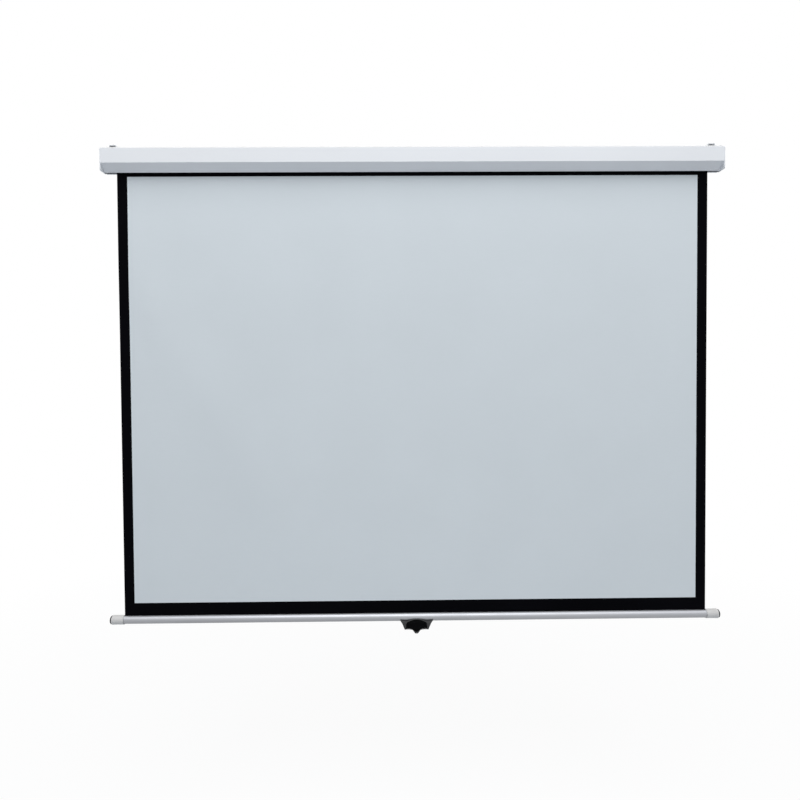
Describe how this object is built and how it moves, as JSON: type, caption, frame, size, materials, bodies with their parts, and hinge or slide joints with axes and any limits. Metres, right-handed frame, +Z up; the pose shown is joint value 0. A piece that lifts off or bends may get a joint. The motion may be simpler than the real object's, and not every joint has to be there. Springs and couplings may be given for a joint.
{
  "type": "projector screen",
  "caption": "Pull-down projector screen: slim white case, sheet with black borders on a spring roller, round bottom bar and black pull handle.",
  "frame": {"origin": "flat back face of the case, halfway along it, level with the roller's axis", "axes": "+X along the case to the right as seen from the front, +Y into the wall, +Z up; the front faces -Y"},
  "size_m": [1.85, 0.0868, 1.4737],
  "materials": {
    "paint": "white powder coat, semi-matt",
    "steel": "zinc-plated",
    "dark_steel": "blackened",
    "spring_steel": "oiled spring wire",
    "aluminium": "satin, anodised",
    "brass": "plain",
    "screen_white": "matt white coated cloth",
    "screen_black": "matt black coated cloth",
    "nylon": "moulded",
    "cream_plastic": "moulded",
    "rubber": "soft",
    "black_plastic": "moulded, satin"
  },
  "bodies": {
    "case": {"case_housing": "paint", "end_plate_left": "paint", "end_plate_right": "paint", "hanger_strap_left": "paint", "hanger_strap_right": "paint", "end_screw_left_1": "steel", "end_screw_left_2": "steel", "end_screw_left_3": "steel", "end_screw_left_4": "steel", "end_screw_right_1": "steel", "end_screw_right_2": "steel", "end_screw_right_3": "steel", "end_screw_right_4": "steel", "holder_rivet_left_1": "steel", "holder_rivet_left_2": "steel", "holder_rivet_right_1": "steel", "holder_rivet_right_2": "steel", "spring_spindle": "steel", "strap_screw_left_1": "dark_steel", "strap_screw_left_2": "dark_steel", "strap_screw_right_1": "dark_steel", "strap_screw_right_2": "dark_steel", "ratchet_disc": "dark_steel", "view_field": "screen_white", "border_top": "screen_black", "border_left": "screen_black", "border_right": "screen_black", "spindle_holder": "nylon", "idler_holder": "nylon", "idler_bush": "nylon", "spring_anchor": "nylon"},
    "roller": {"roller_tube": "aluminium", "roller_cap": "dark_steel", "cap_bush": "brass", "roller_plug": "dark_steel", "idler_pin": "steel", "torsion_spring": "spring_steel", "sheet_wraps": "screen_black", "pawl_a_pin": "steel", "pawl_b_pin": "steel"},
    "bar": {"weight_bar": "aluminium", "hem_rod": "nylon", "border_bottom": "screen_black", "bar_sleeve_left": "cream_plastic", "bar_sleeve_right": "cream_plastic", "bar_plug_left": "rubber", "bar_plug_right": "rubber", "pull_handle": "black_plastic", "handle_screw_left": "dark_steel", "handle_screw_right": "dark_steel"},
    "pawl_a": {"pawl_a": "steel"},
    "pawl_b": {"pawl_b": "steel"}
  },
  "joints": [
    {"name": "bar_slide", "type": "slide", "parent": "case", "child": "bar", "axis": [0, 0, 1], "range_m": [0, 1.32], "deforming": ["view_field", "border_left", "border_right", "border_top"]},
    {"name": "roller_spin", "type": "hinge", "parent": "case", "child": "roller", "pos_m": [0, -0.03136, 0], "axis": [1, 0, 0], "range_deg": [-3601, 0]},
    {"name": "pawl_a_swing", "type": "hinge", "parent": "roller", "child": "pawl_a", "pos_m": [-0.899, -0.04006, 0.01122], "axis": [1, 0, 0], "range_deg": [-16, 0]},
    {"name": "pawl_b_swing", "type": "hinge", "parent": "roller", "child": "pawl_b", "pos_m": [-0.899, -0.02265, -0.01122], "axis": [1, 0, 0], "range_deg": [-16, 0]}
  ],
  "couplings": [
    {"joint": "roller_spin", "follows": "bar_slide", "rad_per_m": -47.6}
  ]
}
